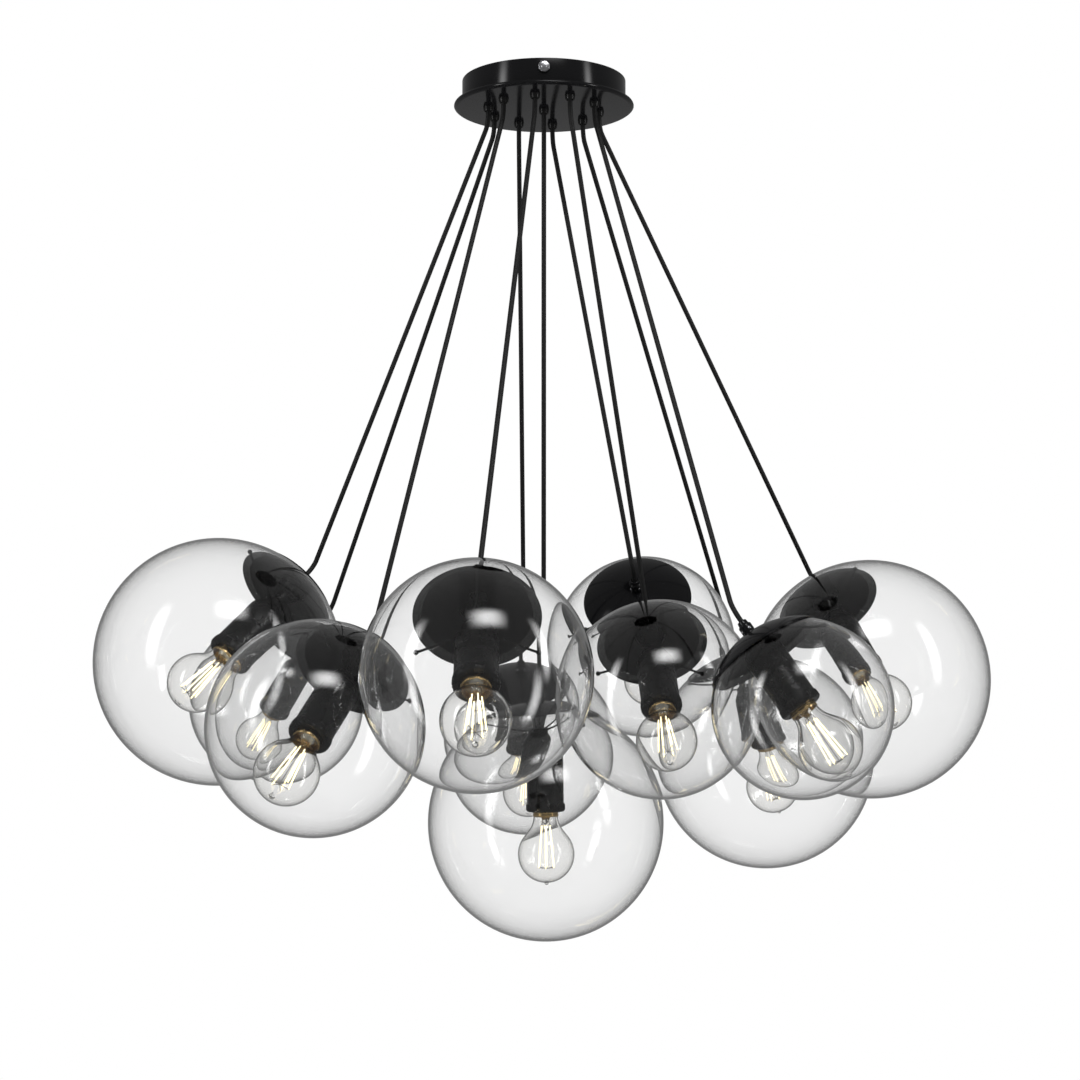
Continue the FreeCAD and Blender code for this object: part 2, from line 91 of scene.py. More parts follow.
MOUTH_RADIUS = 0.050
CAP_RADIUS = 0.058
CAP_WALL = 0.0012
CAP_CLEARANCE = 0.0003
GRIP_HEIGHT = 0.0145
CROWN = GRIP_HEIGHT + CAP_WALL + CAP_CLEARANCE
NECK_LENGTH = 0.038
HOLDER_LENGTH = 0.076
HOLDER_RADIUS = 0.0195
BULB_LENGTH = 0.075
BULB_RADIUS = 0.030
BULB_END_ROOM = 0.008
CORD_DIAMETER = 0.005
CORD_ENTRY = 0.003
CORD_DROP_RUN = 0.016
CORD_GRIP_RUN = 0.016
CANOPY_RADIUS = 0.086
CANOPY_HEIGHT = 0.025
CANOPY_WALL = 0.0012
PLATE_RADIUS = 0.095
PLATE_THICKNESS = 0.005
COLLAR_HEIGHT = 0.005
print("pendants", len(PENDANTS), "gland slots", RING_SLOTS + 1)


# %% Place of a head
def head_matrix(radius, centre, lean, bearing):
    """From a head drawn upright, grip top at the origin, to its place in the cluster."""
    turn = (Matrix.Rotation(math.radians(bearing), 4, "Z")
            @ Matrix.Rotation(math.radians(-lean), 4, "Y"))
    axis = turn @ Vector((0, 0, -1))
    return Matrix.Translation(Vector(centre) - axis * (radius + CROWN)) @ turn


def neck_length(radius):
    """The neck is cut short in a globe too small for a head of full length."""
    stack = GLASS_WALL + HOLDER_LENGTH + BULB_LENGTH + BULB_END_ROOM
    return min(NECK_LENGTH, 2 * radius - stack)


print("necks, mm", [round(neck_length(size) * 1000) for size in (LARGE, MEDIUM, SMALL)])

# %% [markdown]
# ## Node helpers
# A finish is a small node graph. One helper adds a node with its values set, and one makes the
# Principled surface with a little variation in its roughness and a fine bump. All patterns read
# Object coordinates, so they stay put on the piece.

# %% Material helpers
def add_node(material, kind, **values):
    """A new node, with the inputs that are named set to their values."""
    node = material.node_tree.nodes.new(kind)
    for name, value in values.items():
        node.inputs[name.replace("_", " ")].default_value = value
    return node


SMOOTHEST = 0.02
BUMP_DEPTH = 0.0002


def new_material(name, colour, metallic=0.0, specular=0.5, roughness=0.3, spread=0.08, grain=60.0,
                 bump=0.02, bump_scale=900.0):
    """A Principled surface whose roughness drifts and whose bump is fine."""
    material = bpy.data.materials.new(name)
    material.use_nodes = True
    tree = material.node_tree
    shader = tree.nodes["Principled BSDF"]
    shader.inputs["Base Color"].default_value = (*colour, 1)
    shader.inputs["Metallic"].default_value = metallic
    shader.inputs["Specular IOR Level"].default_value = specular
    place = add_node(material, "ShaderNodeTexCoord")
    drift = add_node(material, "ShaderNodeTexNoise", Scale=grain, Detail=4.0)
    tree.links.new(place.outputs["Object"], drift.inputs["Vector"])
    span = add_node(material, "ShaderNodeMapRange")
    span.inputs["To Min"].default_value = max(SMOOTHEST, roughness - spread)
    span.inputs["To Max"].default_value = roughness + spread
    tree.links.new(drift.outputs["Fac"], span.inputs["Value"])
    tree.links.new(span.outputs["Result"], shader.inputs["Roughness"])
    fine = add_node(material, "ShaderNodeTexNoise", Scale=bump_scale, Detail=2.0)
    tree.links.new(place.outputs["Object"], fine.inputs["Vector"])
    relief = add_node(material, "ShaderNodeBump", Strength=bump, Distance=BUMP_DEPTH)
    tree.links.new(fine.outputs["Fac"], relief.inputs["Height"])
    tree.links.new(relief.outputs["Normal"], shader.inputs["Normal"])
    return material


# %% [markdown]
# ## Opaque finishes
# The canopy and the caps are sprayed with gloss black enamel, which shows a faint orange peel.
# The lampholders are satin black moulding. Grub screws and side screws are bright metal. A base
# colour near zero isn't enough for a deep black, because the sheen lifts it, so the blacks have a
# lower specular level too.

# %% Opaque finishes
BLACK_SHEEN = 0.28
black_enamel = new_material("black_enamel", (0.0035, 0.0035, 0.004), specular=BLACK_SHEEN,
                            roughness=0.13, spread=0.05, grain=25.0, bump=0.02, bump_scale=260.0)
black_moulding = new_material("black_moulding", (0.005, 0.005, 0.005), specular=BLACK_SHEEN,
                              roughness=0.27, spread=0.06, grain=90.0, bump=0.08, bump_scale=1500.0)
black_wire = new_material("black_wire", (0.006, 0.006, 0.006), specular=BLACK_SHEEN,
                          roughness=0.26, spread=0.05, grain=200.0)
bright_metal = new_material("bright_metal", (0.50, 0.50, 0.52), metallic=1.0,
                            roughness=0.16, spread=0.06)
zinc_plate = new_material("zinc_plate", (0.55, 0.56, 0.58), metallic=1.0,
                          roughness=0.36, spread=0.12, grain=140.0, bump=0.05)
gilt_metal = new_material("gilt_metal", (0.58, 0.42, 0.20), metallic=1.0,
                          roughness=0.26, spread=0.08)
cord_sheath = new_material("cord_sheath", (0.008, 0.008, 0.008), specular=BLACK_SHEEN,
                           roughness=0.52, spread=0.08, grain=300.0, bump=0.35, bump_scale=1400.0)
print("opaque finishes", len(bpy.data.materials))


# %% [markdown]
# ## Glass
# Blown glass is clear in the middle and grey at the rim, because there the eye looks along the
# wall and not across it. A weak absorption in the glass itself gives that from every side. A very
# gentle bump stands for the unevenness of blown glass.

# %% Glass finishes
RIPPLE_DEPTH = 0.001


def glass_material(name, ior, absorb, density, ripple, ripple_scale):
    """Clear glass whose own body absorbs a little light."""
    material = bpy.data.materials.new(name)
    material.use_nodes = True
    tree = material.node_tree
    shader = tree.nodes["Principled BSDF"]
    shader.inputs["Base Color"].default_value = (1, 1, 1, 1)
    shader.inputs["Roughness"].default_value = 0.0
    shader.inputs["IOR"].default_value = ior
    shader.inputs["Transmission Weight"].default_value = 1.0
    place = add_node(material, "ShaderNodeTexCoord")
    wave = add_node(material, "ShaderNodeTexNoise", Scale=ripple_scale, Detail=1.0)
    tree.links.new(place.outputs["Object"], wave.inputs["Vector"])
    relief = add_node(material, "ShaderNodeBump", Strength=ripple, Distance=RIPPLE_DEPTH)
    tree.links.new(wave.outputs["Fac"], relief.inputs["Height"])
    tree.links.new(relief.outputs["Normal"], shader.inputs["Normal"])
    body = add_node(material, "ShaderNodeVolumeAbsorption")
    body.inputs["Color"].default_value = (*absorb, 1)
    body.inputs["Density"].default_value = density
    tree.links.new(body.outputs["Volume"], tree.nodes["Material Output"].inputs["Volume"])
    return material


globe_glass = glass_material("globe_glass", 1.46, (0.50, 0.52, 0.51), 13.0, 0.12, 9.0)
bulb_glass = glass_material("bulb_glass", 1.45, (0.72, 0.68, 0.50), 40.0, 0.05, 20.0)
print("glass", globe_glass.name, bulb_glass.name)


# %% Filament finish
BEAD_SCALE = 700.0
GLOW_STRENGTH = 2.2


def filament_material():
    """A warm glow that varies a little along the stick."""
    material = bpy.data.materials.new("filament_glow")
    material.use_nodes = True
    shader = material.node_tree.nodes["Principled BSDF"]
    place = add_node(material, "ShaderNodeTexCoord")
    beads = add_node(material, "ShaderNodeTexNoise", Scale=BEAD_SCALE, Detail=1.0)
    material.node_tree.links.new(place.outputs["Object"], beads.inputs["Vector"])
    ramp = add_node(material, "ShaderNodeValToRGB")
    ramp.color_ramp.elements[0].color = (1.0, 0.80, 0.36, 1)
    ramp.color_ramp.elements[1].color = (1.0, 0.95, 0.74, 1)
    material.node_tree.links.new(beads.outputs["Fac"], ramp.inputs["Fac"])
    material.node_tree.links.new(ramp.outputs["Color"], shader.inputs["Base Color"])
    material.node_tree.links.new(ramp.outputs["Color"], shader.inputs["Emission Color"])
    shader.inputs["Emission Strength"].default_value = GLOW_STRENGTH
    shader.inputs["Roughness"].default_value = 0.5
    return material


filament_glow = filament_material()
print("glow", filament_glow.name)


# %% [markdown]
# ## Turned pieces
# Nearly every piece here is round, so it can be turned from an outline, as on a lathe. The helper
# takes points of radius and height, rounds the corners that are given a radius, spins the line
# about the axis and closes it at the axis. A spin is exact, and its density is ours to choose.

# %% Outline and lathe helpers
CORNER_SHARE = 0.45
ON_AXIS = 1e-6


def arc(radius, start, end, steps, centre=(0, 0)):
    """Points of a circular arc, angles in degrees from the axis."""
    points = []
    for step in range(steps + 1):
        angle = math.radians(start + (end - start) * step / steps)
        points.append((centre[0] + radius * math.sin(angle), centre[1] + radius * math.cos(angle)))
    return points


def rounded(corners, steps=4):
    """A line of (radius, height, rounding) corners, with each rounding turned into an arc."""
    points = []
    last = len(corners) - 1
    for index, (x, z, rounding) in enumerate(corners):
        if rounding == 0 or index in (0, last):
            points.append((x, z))
            continue
        here = Vector((x, z))
        before = Vector(corners[index - 1][:2]) - here
        after = Vector(corners[index + 1][:2]) - here
        reach = min(rounding, before.length * CORNER_SHARE, after.length * CORNER_SHARE)
        start = here + before.normalized() * reach
        end = here + after.normalized() * reach
        for step in range(steps + 1):
            share = step / steps
            point = start.lerp(here, share).lerp(here.lerp(end, share), share)
            points.append((point.x, point.y))
    return points


def on_axis(points):
    """The same points, with those that all but touch the axis laid on it."""
    return [(radius if radius > ON_AXIS else 0.0, height) for radius, height in points]


def lathe(name, outline, segments, matrix=Matrix(), sharp=40):
    """Spins an outline about Z and welds it where it meets the axis."""
    shape = bmesh.new()
    rings = []
    for radius, height in outline:
        if radius < ON_AXIS:
            rings.append([shape.verts.new((0, 0, height))])
            continue
        angles = [2 * math.pi * step / segments for step in range(segments)]
        rings.append([shape.verts.new((radius * math.cos(angle), radius * math.sin(angle), height))
                      for angle in angles])
    for upper, lower in zip(rings, rings[1:]):
        if len(upper) + len(lower) == 2:
            continue
        for step in range(segments):
            after = (step + 1) % segments
            corners = [upper[step % len(upper)], upper[after % len(upper)],
                       lower[after % len(lower)], lower[step % len(lower)]]
            shape.faces.new(list(dict.fromkeys(corners)))
    bmesh.ops.remove_doubles(shape, verts=shape.verts, dist=ON_AXIS)
    bmesh.ops.recalc_face_normals(shape, faces=shape.faces)
    mesh = bpy.data.meshes.new(name)
    shape.to_mesh(mesh)
    shape.free()
    mesh.transform(matrix)
    mesh.shade_smooth()
    mesh.set_sharp_from_angle(angle=math.radians(sharp))
    return mesh


def add_piece(name, mesh, material, body, replaced=()):
    """Puts a finished mesh in the scene, with its finish and body, and hides the parts it replaces.
    """
    piece = bpy.data.objects.new(name, mesh)
    mesh.materials.clear()
    mesh.materials.append(material)
    scene.collection.objects.link(piece)
    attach(piece, body)
    if replaced:
        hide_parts(*replaced)
    return piece


corner = rounded([(1, 0, 0), (1, 1, 0.3), (0, 1, 0)])
print("a rounded corner takes", len(corner), "points")

# %% [markdown]
# ## Repeating round an axis
# Glands, knurls, sprung arms and filaments all repeat round an axis. One Geometry Nodes tree does
# it: it lays points, turns each to its own angle, copies the given mesh onto them and realizes
# the copies. Its inputs are the number, the radius and the first angle.

# %% Ring tree
def build_ring_tree():
    """Points on a circle, each turned to its angle, with a copy of the mesh on each."""
    tree = bpy.data.node_groups.new("ring_of_copies", "GeometryNodeTree")
    for label, kind in (("Geometry", "NodeSocketGeometry"), ("Count", "NodeSocketInt"),
                        ("Radius", "NodeSocketFloat"), ("First Angle", "NodeSocketFloat"),
                        ("Material", "NodeSocketMaterial")):
        tree.interface.new_socket(label, in_out="INPUT", socket_type=kind)
    tree.interface.new_socket("Geometry", in_out="OUTPUT", socket_type="NodeSocketGeometry")
    enter = tree.nodes.new("NodeGroupInput")
    leave = tree.nodes.new("NodeGroupOutput")
    points = tree.nodes.new("GeometryNodePoints")
    index = tree.nodes.new("GeometryNodeInputIndex")
    share = tree.nodes.new("ShaderNodeMath")
    share.operation = "DIVIDE"
    turn = tree.nodes.new("ShaderNodeMath")
    turn.operation = "MULTIPLY_ADD"
    turn.inputs[1].default_value = 2 * math.pi
    across = tree.nodes.new("ShaderNodeCombineXYZ")
    spin = tree.nodes.new("ShaderNodeCombineXYZ")
    place = tree.nodes.new("ShaderNodeVectorRotate")
    place.rotation_type = "Z_AXIS"
    copies = tree.nodes.new("GeometryNodeInstanceOnPoints")
    real = tree.nodes.new("GeometryNodeRealizeInstances")
    finish = tree.nodes.new("GeometryNodeSetMaterial")
    link = tree.links.new
    link(enter.outputs["Count"], points.inputs["Count"])
    link(index.outputs["Index"], share.inputs[0])
    link(enter.outputs["Count"], share.inputs[1])
    link(share.outputs[0], turn.inputs[0])
    link(enter.outputs["First Angle"], turn.inputs[2])
    link(enter.outputs["Radius"], across.inputs["X"])
    link(across.outputs[0], place.inputs["Vector"])
    link(turn.outputs[0], place.inputs["Angle"])
    link(place.outputs[0], points.inputs["Position"])
    link(turn.outputs[0], spin.inputs["Z"])
    link(points.outputs[0], copies.inputs["Points"])
    link(enter.outputs["Geometry"], copies.inputs["Instance"])
    link(spin.outputs[0], copies.inputs["Rotation"])
    link(copies.outputs[0], real.inputs[0])
    link(real.outputs[0], finish.inputs["Geometry"])
    link(enter.outputs["Material"], finish.inputs["Material"])
    link(finish.outputs[0], leave.inputs[0])
    return tree


ring_tree = build_ring_tree()
print("ring tree", len(ring_tree.nodes), "nodes")


# %% Ring, join and rod helpers
def plain_mesh(carrier):
    """The evaluated mesh of an object, which is then removed."""
    bpy.context.view_layer.update()
    evaluated = carrier.evaluated_get(bpy.context.evaluated_depsgraph_get())
    mesh = bpy.data.meshes.new_from_object(evaluated)
    bpy.data.objects.remove(carrier)
    return mesh


def ring_of(name, mesh, count, radius, first_angle, material, matrix=Matrix()):
    """Copies a mesh round the Z axis and returns one plain mesh."""
    carrier = bpy.data.objects.new(name, mesh)
    scene.collection.objects.link(carrier)
    modifier = carrier.modifiers.new("ring", "NODES")
    modifier.node_group = ring_tree
    values = {"Count": count, "Radius": radius, "Material": material}
    values["First Angle"] = math.radians(first_angle)
    for item in ring_tree.interface.items_tree:
        if item.in_out == "INPUT" and item.name in values:
            modifier[item.identifier] = values[item.name]
    plain = plain_mesh(carrier)
    plain.name = name
    plain.transform(matrix)
    return plain


def joined(name, meshes):
    """One mesh out of several."""
    shape = bmesh.new()
    for mesh in meshes:
        shape.from_mesh(mesh)
    whole = bpy.data.meshes.new(name)
    shape.to_mesh(whole)
    shape.free()
    return whole


def rod(name, start, end, radius, sides=12):
    """A straight round rod between two points, with its ends rounded over."""
    run = Vector(end) - Vector(start)
    ease = radius * 0.6
    corners = [(0, 0, 0), (radius, 0, ease), (radius, run.length, ease), (0, run.length, 0)]
    outline = rounded(corners, 3)
    turn = run.to_track_quat("Z", "Y").to_matrix().to_4x4()
    return lathe(name, outline, sides, Matrix.Translation(start) @ turn)


# %% [markdown]
# ## The canopy
# A shallow drum of thin steel hides the bracket and the wiring. A wider plate closes it, with a
# rounded edge that catches the light. Both are turned at high density, because their gloss shows
# every facet. The bracket stays as the construction has it, and only gets its plating.

# %% Canopy drum and plate
CEILING_GAP = 0.0005
FLANGE = 0.014
drum_outline = rounded([
    (CANOPY_RADIUS - FLANGE, -CANOPY_HEIGHT, 0),
    (CANOPY_RADIUS, -CANOPY_HEIGHT, 0.0015),
    (CANOPY_RADIUS, -CEILING_GAP, 0.0008),
    (CANOPY_RADIUS - CANOPY_WALL, -CEILING_GAP, 0.0003),
    (CANOPY_RADIUS - CANOPY_WALL, -CANOPY_HEIGHT + CANOPY_WALL, 0.0005),
    (CANOPY_RADIUS - FLANGE, -CANOPY_HEIGHT + CANOPY_WALL, 0),
    (CANOPY_RADIUS - FLANGE, -CANOPY_HEIGHT, 0),
])
drum = lathe("canopy_drum", drum_outline, 192)
add_piece("canopy_drum", drum, black_enamel, "canopy", ["canopy_pan"])
plate_bottom = -CANOPY_HEIGHT - PLATE_THICKNESS
plate_outline = rounded([
    (0, -CANOPY_HEIGHT, 0),
    (PLATE_RADIUS - 0.0012, -CANOPY_HEIGHT, 0.0016),
    (PLATE_RADIUS, plate_bottom + 0.0022, 0.0022),
    (PLATE_RADIUS - 0.0028, plate_bottom, 0.0026),
    (0, plate_bottom, 0),
], 6)
plate = lathe("canopy_disc", plate_outline, 192)
add_piece("canopy_disc", plate, black_enamel, "canopy", ["canopy_plate"])
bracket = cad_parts["ceiling_bracket"]
bracket.data.materials.clear()
bracket.data.materials.append(zinc_plate)
print("canopy", len(drum.polygons), len(plate.polygons))

# %% [markdown]
# ## Glands and side screws
# Every cord leaves through a small collar with a belled mouth. Ten stand in a ring and one in the
# middle. Two bright screws with knurled heads hold the drum to the bracket from the sides.

# %% Glands
collar_low = plate_bottom - COLLAR_HEIGHT
collar_outline = rounded([
    (0.0035, collar_low + 0.0018, 0),
    (0.0038, collar_low, 0.0008),
    (0.0047, collar_low, 0.0008),
    (0.0055, plate_bottom + 0.0004, 0.0016),
    (0.0044, plate_bottom + 0.0004, 0.0),
    (0.0044, -CANOPY_HEIGHT + 0.004, 0.0004),
    (0.0035, -CANOPY_HEIGHT + 0.004, 0.0004),
    (0.0035, collar_low + 0.0018, 0),
])
collar = lathe("gland", collar_outline, 32)
ring_glands = ring_of("ring_glands", collar, RING_SLOTS, RING_RADIUS, FIRST_SLOT_BEARING,
                      black_moulding)
glands = joined("glands", [ring_glands, collar])
add_piece("glands", glands, black_moulding, "canopy", ["cord_glands"])

# %% Side screws
SCREW_DROP = 0.011
KNOB_RADIUS = 0.006
KNOB_START = CANOPY_RADIUS
KNOB_LENGTH = 0.007
SCREW_REACH = 0.008
screw_outline = rounded([
    (0, KNOB_START + KNOB_LENGTH, 0),
    (0.0022, KNOB_START + KNOB_LENGTH, 0.0003),
    (0.0028, KNOB_START + KNOB_LENGTH - 0.0006, 0.0003),
    (KNOB_RADIUS - 0.0005, KNOB_START + KNOB_LENGTH - 0.0008, 0.0008),
    (KNOB_RADIUS - 0.0005, KNOB_START + 0.0012, 0.0004),
    (0.0032, KNOB_START + 0.0006, 0.0002),
    (0.0032, KNOB_START, 0),
    (0.0019, KNOB_START, 0),
    (0.0019, KNOB_START - SCREW_REACH, 0.0005),
    (0, KNOB_START - SCREW_REACH, 0),
])
screw_body = lathe("screw_body", screw_outline, 32)
ridge_start = (0, 0, KNOB_START + 0.0016)
ridge_end = (0, 0, KNOB_START + KNOB_LENGTH - 0.0014)
ridge = rod("ridge", ridge_start, ridge_end, 0.0004, 6)
knurl = ring_of("knurl", ridge, 28, KNOB_RADIUS - 0.0005, 0, bright_metal)
screw = joined("screw", [screw_body, knurl])
screws = []
for side in (1, -1):
    facing = Matrix.Rotation(math.radians(90 * side), 4, "X")
    copy = screw.copy()
    copy.transform(Matrix.Translation((0, 0, -SCREW_DROP)) @ facing)
    screws.append(copy)
both = joined("knurled_screws", screws)
add_piece("knurled_screws", both, bright_metal, "canopy", ["side_screws"])
print("screws", len(screws), "glands", RING_SLOTS + 1)


# %% [markdown]
# ## Globe
# A globe is one shell of glass: an outer sphere, a fire-polished lip round the mouth and an inner
# sphere. It is turned as a single closed outline, so light bends as it enters and leaves the wall.

# %% Globe
GLOBE_SEGMENTS = 128
GLOBE_STEPS = 56
LIP_STEPS = 8
SKIN_EASE = 0.00005


def globe_outline(radius):
    """Up the outside from the foot, round the lip and down the inside."""
    centre = (0, -CROWN - radius)
    radius -= SKIN_EASE
    wall_middle = radius - GLASS_WALL / 2
    mouth = math.degrees(math.asin(MOUTH_RADIUS / wall_middle))
    lip_centre = arc(wall_middle, mouth, mouth, 1, centre)[0]
    outside = arc(radius, 180, mouth, GLOBE_STEPS, centre)
    lip = arc(GLASS_WALL / 2, mouth, mouth - 180, LIP_STEPS, lip_centre)
    inside = arc(radius - GLASS_WALL, mouth, 180, GLOBE_STEPS, centre)
    return on_axis(outside + lip[1:-1] + inside)


print("globe outline", len(globe_outline(LARGE)), "points")


# %% [markdown]
# ## Cap and cord grip
# The cap is a spun steel dome that follows the globe and ends in a small rolled rim. On its crown
# sits the cord grip, a stepped collar with four bright grub screws that pinch the cord. Wherever
# the head turns, two of them show.

# %% Cap and grip
CAP_SEGMENTS = 96
CAP_STEPS = 24
RIM_STEPS = 6
GRIP_RADIUS = 0.0065
GRUB_RADIUS = 0.0016
GRUB_DROP = 0.0100
GRUB_COUNT = 4
FIRST_GRUB = 45


def cap_outline(radius):
    """Down the outside from the crown, round the rim and back up the inside."""
    centre = (0, -CROWN - radius)
    outer = radius + CAP_CLEARANCE + CAP_WALL
    inner = radius + CAP_CLEARANCE
    middle = (outer + inner) / 2
    edge = math.degrees(math.asin((CAP_RADIUS - CAP_WALL / 2) / middle))
    rim_centre = arc(middle, edge, edge, 1, centre)[0]
    outside = arc(outer, 0, edge, CAP_STEPS, centre)
    rim = arc(CAP_WALL / 2, edge, edge + 180, RIM_STEPS, rim_centre)
    inside = arc(inner, edge, 0, CAP_STEPS, centre)
    return on_axis(outside + rim[1:-1] + inside)


grip_outline = rounded([
    (CORD_DIAMETER / 2, 0, 0),
    (0.0046, 0, 0.0010),
    (0.0050, -0.0040, 0.0006),
    (GRIP_RADIUS, -0.0052, 0.0008),
    (GRIP_RADIUS, -GRIP_HEIGHT - 0.0006, 0.0006),
    (0, -GRIP_HEIGHT - 0.0006, 0),
    (0, -0.0020, 0),
    (CORD_DIAMETER / 2, -0.0020, 0),
    (CORD_DIAMETER / 2, 0, 0),
])
grub_outline = rounded([
    (0, 0.0007, 0),
    (0.0007, 0.0007, 0.0002),
    (0.0007, 0.0002, 0.0001),
    (GRUB_RADIUS, 0.0002, 0.0004),
    (GRUB_RADIUS, -0.001, 0),
    (0, -0.001, 0),
])


def grub_screws(matrix):
    """Screw heads that stand out of the lower step of the collar."""
    place = Matrix.Translation((GRIP_RADIUS, 0, -GRUB_DROP))
    outward = place @ Matrix.Rotation(math.pi / 2, 4, "Y")
    head = lathe("grub", grub_outline, 20, outward)
    return ring_of("grub_screws", head, GRUB_COUNT, 0, FIRST_GRUB, bright_metal, matrix)


print("cap outline", len(cap_outline(LARGE)), "points, grip", len(grip_outline))


# %% [markdown]
# ## Lampholder
# The holder is a moulded barrel with a sloping shoulder, a fine groove where its two halves screw
# together and a ribbed ring at the mouth. Above it a nipple flares out under the cap, with the hub
# that carries the sprung arms. The small globe has no room for the flare.

# %% Lampholder
HOLDER_SEGMENTS = 64
HUB_RADIUS = 0.013
SHOULDER_DROP = 0.009
SEAM_DROP = 0.034
SEAM_DEPTH = 0.0006
RING_HEIGHT = 0.009
RING_WIDE = 0.0203
SOCKET_RADIUS = 0.0137
SOCKET_DEPTH = 0.027
RIB_COUNT = 36
RIB_RADIUS = 0.0006
FLARE_NEEDS = 0.020


def holder_outline(neck):
    """Nipple, hub, shoulder, barrel with its seam, ring, and the socket inside."""
    top = -CROWN - neck
    end = top - HOLDER_LENGTH
    shoulder = top - SHOULDER_DROP
    seam = top - SEAM_DROP
    nipple = [
        (0, -CROWN - 0.0004, 0),
        (0.005, -CROWN - 0.0004, 0.0005),
        (0.005, top + 0.007, 0.0005),
    ]
    if neck > FLARE_NEEDS:
        nipple = [
            (0, -CROWN - 0.0004, 0),
            (0.006, -CROWN - 0.0006, 0.0004),
            (0.0165, -CROWN - 0.0024, 0.0004),
            (0.0160, -CROWN - 0.0036, 0.0010),
            (0.0086, top + 0.018, 0.0080),
            (0.0070, top + 0.007, 0.0005),
        ]
    return rounded(nipple + [
        (0.0115, top + 0.007, 0.0012),
        (HUB_RADIUS, top + 0.0055, 0.0008),
        (HUB_RADIUS, top, 0.0008),
        (HOLDER_RADIUS, shoulder, 0.0040),
        (HOLDER_RADIUS, seam, 0.0003),
        (HOLDER_RADIUS - SEAM_DEPTH, seam - 0.0004, 0.0002),
        (HOLDER_RADIUS - SEAM_DEPTH, seam - 0.0012, 0.0002),
        (HOLDER_RADIUS, seam - 0.0016, 0.0003),
        (HOLDER_RADIUS, end + RING_HEIGHT, 0.0004),
        (RING_WIDE, end + RING_HEIGHT - 0.0006, 0.0004),
        (RING_WIDE, end + 0.0012, 0.0010),
        (0.0190, end, 0.0010),
        (0.0146, end, 0.0008),
        (SOCKET_RADIUS, end + 0.0012, 0.0006),
        (SOCKET_RADIUS, end + SOCKET_DEPTH, 0.0006),
        (0, end + SOCKET_DEPTH, 0),
    ])


def holder_ribs(neck, matrix):
    """Fine ribs round the ring at the mouth, for the fingers."""
    end = -CROWN - neck - HOLDER_LENGTH
    rib = rod("rib", (0, 0, end + 0.0016), (0, 0, end + RING_HEIGHT - 0.0012), RIB_RADIUS, 8)
    return ring_of("ring_ribs", rib, RIB_COUNT, RING_WIDE - 0.0001, 0, black_moulding, matrix)


print("holder outline", len(holder_outline(NECK_LENGTH)), "points, ribs", RIB_COUNT)

# %% [markdown]
# ## Sprung arms
# Three black wires spread from the hub and press against the glass just inside the mouth. Each
# bows a little, as a spring under load does, and ends in a ball so as not to scratch.

# %% Sprung arms
ARM_COUNT = 3
ARM_REACH = 0.063
ARM_WIRE = 0.0012
ARM_TIP = 0.0025
ARM_TIP_CLEARANCE = 0.0004
ARM_FOOT_RADIUS = 0.0065
ARM_FOOT_RISE = 0.0035
ARM_BOW = 0.35


def sprung_arms(radius, neck, matrix):
    """One bowed wire with its ball, copied round the hub."""
    room = GLASS_WALL + ARM_TIP + ARM_TIP_CLEARANCE
    tip_height = math.sqrt((radius - room) ** 2 - ARM_REACH ** 2) - CROWN - radius
    start = Vector((ARM_FOOT_RADIUS, 0, -CROWN - neck + ARM_FOOT_RISE))
    end = Vector((ARM_REACH, 0, tip_height))
    line = bpy.data.curves.new("arm", "CURVE")
    line.dimensions = "3D"
    line.bevel_depth = ARM_WIRE
    line.bevel_resolution = 3
    line.use_fill_caps = True
    line.resolution_u = 16
    spline = line.splines.new("BEZIER")
    spline.bezier_points.add(1)
    run = end - start
    leads = (Vector((1, 0, 0.10)), run.normalized() + Vector((0, 0, 0.12)))
    for point, place, lead in zip(spline.bezier_points, (start, end), leads):
        handle = lead.normalized() * run.length * ARM_BOW
        point.co = place
        point.handle_left = place - handle
        point.handle_right = place + handle
    carrier = bpy.data.objects.new("arm", line)
    scene.collection.objects.link(carrier)
    wire = plain_mesh(carrier)
    wire.shade_smooth()
    ball = lathe("tip", on_axis(arc(ARM_TIP, 0, 180, 12)), 20, Matrix.Translation(end))
    return ring_of("sprung_arms", joined("arm", [wire, ball]), ARM_COUNT, 0, 0, black_wire, matrix)


print("arms", ARM_COUNT, "to a head, reaching", ARM_REACH)

# %% [markdown]
# ## Bulb
# The bulb is a pear-shaped glass envelope on a gilt screw base. Inside, a glass stem carries wires
# and six long filaments that spread towards the far end. The envelope is a thin closed shell that
# ends in a small pip, where the glass was drawn off.

# %% Bulb
BULB_SEGMENTS = 64
BULB_WALL = 0.0008
BULB_NECK = 0.0128
BALL_ANGLE = 52
NECK_STEPS = 12
PIP_ANGLE = 174
PIP_LENGTH = 0.0024
FILAMENT_COUNT = 6


